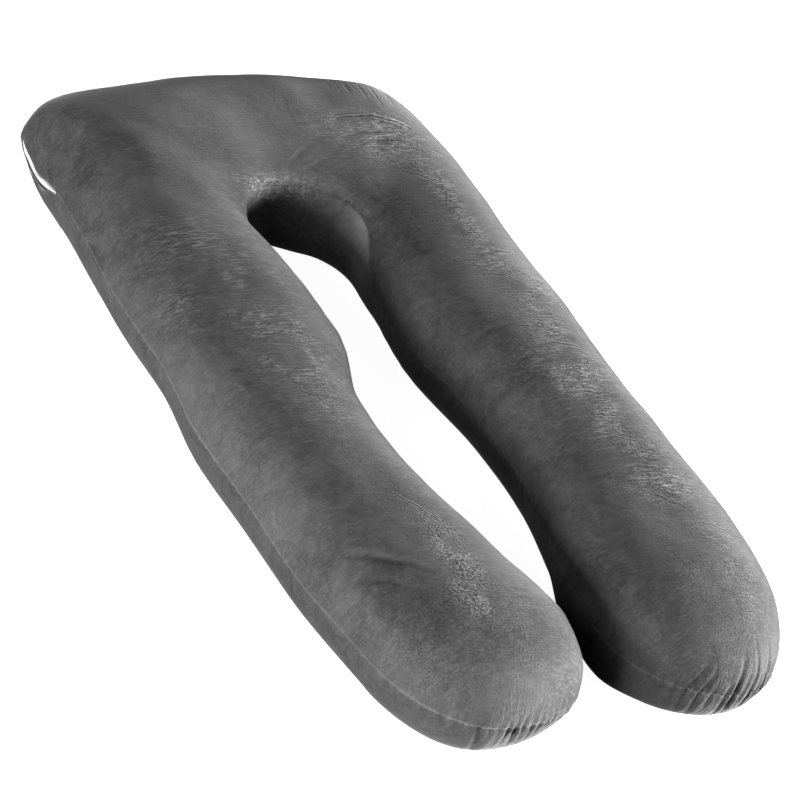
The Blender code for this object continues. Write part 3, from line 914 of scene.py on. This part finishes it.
def mesh_object(name, points, faces):
    mesh = bpy.data.meshes.new(name)
    mesh.from_pydata(np.asarray(points, float).tolist(), [], faces)
    mesh.validate()
    mesh.shade_smooth()
    obj = bpy.data.objects.new(name, mesh)
    bpy.context.scene.collection.objects.link(obj)
    return obj


def crest_means(row):
    """The mean of the grid's last row at each crest point, which both sides share."""
    total = np.zeros((len(loop.crest_line), *row.shape[1:]))
    np.add.at(total, loop.spine, row)
    return (total.T / np.bincount(loop.spine)).T


def make_cover():
    crest = crest_means(shaped[-1])
    floor = np.column_stack([loop.crest_line, np.zeros(len(crest))])
    points = np.vstack([shaped[1:-1].reshape(-1, 3), crest, floor])
    cover = mesh_object("cover", points, grid_faces(rows, columns, loop.spine))
    for name, values in (
        ("crinkle_and_glints", crinkle_and_glints), ("pebble_and_glints", pebble_and_glints), ("lip", lip), ("gathered", fine_folds),
        ("nap_and_painted_light", nap_and_painted_light), ("fold_shade", fold_shade),
        *((f"crease_across_{k}", crease_across[k]) for k in range(CREASE_LAYERS)),
        *((f"crease_strength_{k}", crease_strength[k]) for k in range(CREASE_LAYERS)),
    ):
        told = np.concatenate([values[1:-1].ravel(), crest_means(values[-1]), floor[:, 2]])
        attribute = cover.data.attributes.new(name, "FLOAT", "POINT")
        attribute.data.foreach_set("value", told.astype(np.float32))
    return cover


def make_casing():
    """The inner pillow's casing: a soft white roll that fills the gap, seen between its edges."""
    stations = np.flatnonzero(half_gap > CASING_MIN_HALF)
    points = []
    turns = np.linspace(-math.pi / 2, math.pi / 2, CASING_STEPS)
    wrinkle = np.random.default_rng(CASING_SEED).uniform(-1, 1, len(stations))
    wrinkle = np.convolve(wrinkle, CASING_SOFTENED, "same")
    for number, k in enumerate(stations):
        opened = min(half_gap[k] / SLIT_HALF_WIDTH / SLIT_FULL_FROM, 1)
        back = STITCH_DEPTH + (GAP_DEPTH - STITCH_DEPTH) * opened - CASING_GAP
        front = CASING_INSET + CASING_WRINKLE * wrinkle[number]
        front -= CASING_BULGE * smooth(loop.seam[k][1], *CASING_BULGE_Y)
        half = half_gap[k] - CASING_PLAY
        for turn in turns:
            inset = back - (back - front) * math.cos(turn) ** CASING_POWER
            x, y = loop.seam[k] + inward[k] * inset
            points.append((x, y, heights[k] + half * math.sin(turn)))
    faces = [(a, d, c, b) for a, b, c, d in ring_faces(len(stations), CASING_STEPS)]
    numbers = list(range(len(points)))
    faces += [numbers[:CASING_STEPS][::-1], numbers[-CASING_STEPS:]]
    return mesh_object("casing", points, faces)


# ---- materials ----

# Noise textures: how many bumps there are per metre, as one number or by axis, in how many levels
# of detail, and how rough and how distorted they are.
Texture = namedtuple("Texture", "bumps detail roughness distortion")
CLOUDS = Texture(9.0, 2.0, 0.5, 1.0)
BLOTCHES = Texture(27.0, 3.0, 0.6, 1.4)
STROKES = Texture((24.0, 120.0, 34.0), 3.0, 0.6, 0.8)
GRAIN = Texture(450.0, 2.0, 0.6, 0.0)
SPECKLE = Texture(270.0, 2.0, 0.6, 0.5)
WISPS = Texture((46.0, 165.0, 60.0), 3.0, 0.62, 1.6)
DASHES = Texture((52.0, 330.0, 150.0), 2.0, 0.55, 0.6)
END_FOLDS = Texture((170.0, 26.0, 26.0), 2.0, 0.5, 0.7)
WEAVE = Texture(900.0, 1.0, 0.5, 0.0)

# How a value is spread over another range.
Spread = namedtuple("Spread", "low high to_low to_high")
CLOUD_TONES = Spread(0.35, 0.65, 0.0, 1.0)
GRAIN_TONES = Spread(0.3, 0.7, 0.0, 1.0)
RIDGE_TONES = Spread(0.0, 0.09, 1.0, 0.0)
GLINT_FLECK_TONES = Spread(0.50, 0.64, -0.25, 2.2)
WRINKLE_HIGHLIGHT_TONES = Spread(0.40, 0.62, 0.2, 1.6)
BAND_TONES = Spread(0.40, 0.58, 0.45, 1.1)
PEBBLE_GLINT_TONES = Spread(0.43, 0.60, -0.9, 1.9)
WISP_BUMPS = Spread(0.0, 1.0, 0.05, 0.8)
DASH_BUMPS = Spread(0.0, 1.0, 0.15, 1.0)
PEBBLE_BUMPS = Spread(0.0, 1.0, 0.25, 1.0)

CREASE_LIGHT = (0.9, 0.8)    # where a crease's light side lies, in line half widths, and its width
CREASE_SHADOW = (-0.7, 0.9)
SHADOW_SHARE = 0.65
GLINTS_EVERYWHERE = 0.12    # a trace of the painted glints outside their patches too
DARKEST_TONE = -0.3
DARK_PILE = (0.031, 0.031, 0.031, 1)
LIGHT_PILE = (0.108, 0.108, 0.108, 1)
DARK_THREAD = (0.78, 0.78, 0.77, 1)
LIGHT_THREAD = (0.88, 0.88, 0.87, 1)
COLOR_A, COLOR_B, COLOR_MIXED = 6, 7, 2      # the colour sockets of a Mix node


class Nodes:
    """A short way to write a node tree: each call adds a node and links its named inputs.

    An input's name is its own, or i and its number.
    """

    def __init__(self, material):
        material.use_nodes = True
        self.tree = material.node_tree
        self.shader = self.tree.nodes["Principled BSDF"]

    def add(self, kind, settings=None, **inputs):
        node = self.tree.nodes.new(kind)
        for key, value in (settings or {}).items():
            setattr(node, key, value)
        for key, value in inputs.items():
            self.put(node, key, value)
        return node

    def put(self, node, key, value):
        socket = node.inputs[int(key[1:])] if key[0] == "i" and key[1:].isdigit() else node.inputs[key]
        if isinstance(value, bpy.types.NodeSocket):
            self.tree.links.new(value, socket)
        else:
            socket.default_value = value

    def math(self, operation, a, b=0.0):
        return self.add("ShaderNodeMath", {"operation": operation}, i0=a, i1=b).outputs[0]

    def noise(self, place, texture):
        """A noise texture. Where its bumps differ by axis, the place is stretched first."""
        scale = texture.bumps
        if isinstance(scale, tuple):
            place = self.add("ShaderNodeMapping", Vector=place, Scale=scale).outputs[0]
            scale = 1.0
        node = self.add("ShaderNodeTexNoise", Vector=place, Scale=scale, Detail=texture.detail,
                        Roughness=texture.roughness, Distortion=texture.distortion)
        return node.outputs[0]

    def spread(self, value, span):
        node = self.add("ShaderNodeMapRange", i0=value, i1=span.low, i2=span.high,
                        i3=span.to_low, i4=span.to_high)
        return node.outputs[0]

    def product(self, first, *others):
        for other in others:
            first = self.math("MULTIPLY", first, other)
        return first

    def colors(self, amount, low, high, **settings):
        node = self.add("ShaderNodeMix", {"data_type": "RGBA", **settings}, Factor=amount)
        node.inputs[COLOR_A].default_value = low
        node.inputs[COLOR_B].default_value = high
        return node.outputs[COLOR_MIXED]

    def attribute(self, name):
        return self.add("ShaderNodeAttribute", {"attribute_name": name}).outputs["Fac"]

    def bell(self, value, middle, width):
        """1 where value is at the middle, and falling smoothly to 0 on both sides."""
        t = self.math("DIVIDE", self.math("SUBTRACT", value, middle), width)
        return self.math("EXPONENT", self.product(t, t, -1.0))

    def bump(self, height, strength, distance, normal=None):
        node = self.add("ShaderNodeBump", Height=height, Strength=strength, Distance=distance)
        if normal is not None:
            self.put(node, "Normal", normal)
        return node.outputs[0]

    def shade(self, inputs):
        for key, value in inputs.items():
            self.put(self.shader, key, value)


def velvet_material():
    material = bpy.data.materials.new("cover_velvet")
    n = Nodes(material)
    place = n.add("ShaderNodeTexCoord").outputs["Object"]
    crinkled_and_glinting, pebbled_and_glinting, lipped, gathered, napped_and_lit, fold_shaded = (
        n.attribute(name) for name in ("crinkle_and_glints", "pebble_and_glints", "lip", "gathered", "nap_and_painted_light", "fold_shade"))
    # each crease draws a painted highlight on one side and a painted shadow on the other, and bumps by
    # the same profile
    creased = 0.0
    for layer in range(CREASE_LAYERS):
        across = n.attribute(f"crease_across_{layer}")
        shadow = n.product(n.bell(across, *CREASE_SHADOW), SHADOW_SHARE)
        profile = n.math("SUBTRACT", n.bell(across, *CREASE_LIGHT), shadow)
        part = n.product(profile, n.attribute(f"crease_strength_{layer}"))
        creased = n.math("ADD", creased, part)

    clouds = n.spread(n.noise(place, CLOUDS), CLOUD_TONES)
    blotches = n.spread(n.noise(place, BLOTCHES), CLOUD_TONES)
    brushed = n.spread(n.noise(place, STROKES), GRAIN_TONES)
    grain = n.spread(n.noise(place, GRAIN), GRAIN_TONES)
    speckle = n.noise(place, SPECKLE)
    wisps = n.noise(place, WISPS)
    ridge = n.spread(n.math("ABSOLUTE", n.math("SUBTRACT", wisps, 0.5)), RIDGE_TONES)
    dashes = n.noise(place, DASHES)
    # painted glints: bright flecks, and highlights along the wrinkles, where the crushed pile catches
    # the light
    painted_glint_flecks = n.product(n.spread(dashes, GLINT_FLECK_TONES), n.math("ADD", crinkled_and_glinting, GLINTS_EVERYWHERE))
    painted_wrinkle_highlights = n.product(ridge, crinkled_and_glinting, n.spread(speckle, WRINKLE_HIGHLIGHT_TONES))
    bands = n.spread(wisps, BAND_TONES)
    # painted glints and specks of shade on the pebbled pile
    pebble_glints_and_shade = n.product(pebbled_and_glinting, bands, n.spread(speckle, PEBBLE_GLINT_TONES))

    # each part's share of the tone, from the dark pile at 0 to the light one at 1. The glints, the
    # pebbles' specks, the seam's highlight, the nap patches' light and shade, and the folds' and
    # creases' shade and highlight are painted light and shade.
    tone = n.product(clouds, 0.30)
    for part, share in ((blotches, 0.34), (brushed, 0.14), (grain, 0.24), (painted_glint_flecks, 1.15),
                        (painted_wrinkle_highlights, 0.45), (pebble_glints_and_shade, 0.95), (lipped, 0.8), (napped_and_lit, 1.0),
                        (fold_shaded, -0.24), (creased, 0.70)):
        tone = n.math("ADD", tone, n.product(part, share))
    tone = n.math("MAXIMUM", tone, DARKEST_TONE)
    color = n.colors(tone, DARK_PILE, LIGHT_PILE, clamp_factor=False)

    # the bumps, one on the other, each with its strength and its depth in mm
    folds = n.noise(place, END_FOLDS)
    normal = None
    for height, strength, distance in (
        (brushed, 0.15, 1.0), (folds, gathered, 2.6), (wisps, n.spread(crinkled_and_glinting, WISP_BUMPS), 2.6),
        (dashes, n.spread(crinkled_and_glinting, DASH_BUMPS), 1.2), (speckle, n.spread(pebbled_and_glinting, PEBBLE_BUMPS), 2.6),
        (creased, 0.8, 1.6),
    ):
        normal = n.bump(height, strength, distance * MM, normal)
    n.shade({"Base Color": color, "Roughness": 0.72, "Specular IOR Level": 0.25, "Sheen Weight": 0.5,
             "Sheen Roughness": 0.4, "Sheen Tint": (0.78, 0.78, 0.78, 1), "Normal": normal})
    return material


def casing_material():
    material = bpy.data.materials.new("casing_cotton")
    n = Nodes(material)
    weave = n.noise(n.add("ShaderNodeTexCoord").outputs["Object"], WEAVE)
    n.shade({"Base Color": n.colors(weave, DARK_THREAD, LIGHT_THREAD), "Roughness": 0.8,
             "Normal": n.bump(weave, 0.3, 0.3 * MM)})
    return material


def floor_material():
    material = bpy.data.materials.new("floor_white")
    Nodes(material).shade({"Base Color": (0.85, 0.85, 0.85, 1), "Roughness": 1.0,
                           "Specular IOR Level": 0.0, "Emission Color": (1, 1, 1, 1),
                           "Emission Strength": 0.95})
    return material


cover = make_cover()
cover.data.materials.append(velvet_material())
casing = make_casing()
casing.data.materials.append(casing_material())
for piece, node, slot, fill in (
    (cover, "pillow", "cover", 0.8),
    (casing, "inner_casing", "casing", 0.7),
):
    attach(piece, "root")
    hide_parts(node)


# ---- floor, light and camera ----

FLOOR_HALF = 60.0            # so wide that its edge stays out of sight, down to low views
FLOOR_DROP = 0.6 * MM        # keeps it clear of the pillow's flat underside


def make_floor():
    corners = [(x * FLOOR_HALF, y * FLOOR_HALF, 0) for x, y in ((-1, -1), (1, -1), (1, 1), (-1, 1))]
    floor = mesh_object("floor", corners, [(0, 1, 2, 3)])
    floor.location.z = -FLOOR_DROP
    floor.data.materials.append(floor_material())
    floor.visible_diffuse = False
    floor.visible_glossy = False


# Rectangular lights that face the pillow, in degrees, metres and watts. Azimuth 0 is +Y, 90 is +X.
SoftBox = namedtuple("SoftBox", "name azimuth elevation width height watts")
SOFT_BOXES = [
    SoftBox("key", 118, 10, 1.8, 1.4, 660),
    SoftBox("fill", -107, 10, 2.6, 1.4, 290),
    SoftBox("side", -98, 32, 1.2, 1.2, 28),
    SoftBox("front", 178, 30, 1.6, 1.6, 15),
    SoftBox("back", 14, 10, 2.4, 1.2, 14),
]
LIGHT_DISTANCE = 4.5
WORLD_LIGHT = 0.003


def make_light(box):
    data = bpy.data.lights.new(box.name, "AREA")
    data.shape = "RECTANGLE"
    data.size = box.width
    data.size_y = box.height
    data.energy = box.watts
    light = bpy.data.objects.new(box.name, data)
    a, e = math.radians(box.azimuth), math.radians(box.elevation)
    toward = Vector((math.sin(a) * math.cos(e), math.cos(a) * math.cos(e), math.sin(e)))
    light.location = toward * LIGHT_DISTANCE
    light.rotation_euler = toward.to_track_quat("Z", "Y").to_euler()
    bpy.context.scene.collection.objects.link(light)


CAMERA_AZIMUTH = 45.4      # degrees from -Y toward -X
CAMERA_ELEVATION = 33.8
CAMERA_ROLL = 25.8
CAMERA_AIM = Vector((-0.011, -0.052, 0.09))
CAMERA_DISTANCE = 4.98
CAMERA_LENS = 149.2
SENSOR_WIDTH = 36
CLIP_END = 200


def make_camera():
    data = bpy.data.cameras.new("camera")
    data.lens = CAMERA_LENS
    data.sensor_width = SENSOR_WIDTH
    data.clip_end = CLIP_END
    camera = bpy.data.objects.new("camera", data)
    a, e, roll = (math.radians(v) for v in (CAMERA_AZIMUTH, CAMERA_ELEVATION, CAMERA_ROLL))
    back = Vector((-math.sin(a) * math.cos(e), -math.cos(a) * math.cos(e), math.sin(e)))
    right = Vector((math.cos(a), -math.sin(a), 0))
    up = back.cross(right)
    right, up = (right * math.cos(roll) + up * math.sin(roll),
                 up * math.cos(roll) - right * math.sin(roll))
    matrix = Matrix((right, up, back)).transposed().to_4x4()
    matrix.translation = CAMERA_AIM + back * CAMERA_DISTANCE
    camera.matrix_world = matrix
    bpy.context.scene.collection.objects.link(camera)
    bpy.context.scene.camera = camera


make_floor()
for box in SOFT_BOXES:
    make_light(box)
world = bpy.data.worlds.new("studio")
world.use_nodes = True
background = world.node_tree.nodes["Background"]
background.inputs["Color"].default_value = (1, 1, 1, 1)
background.inputs["Strength"].default_value = WORLD_LIGHT
bpy.context.scene.world = world
bpy.context.scene.view_settings.view_transform = "Standard"
make_camera()
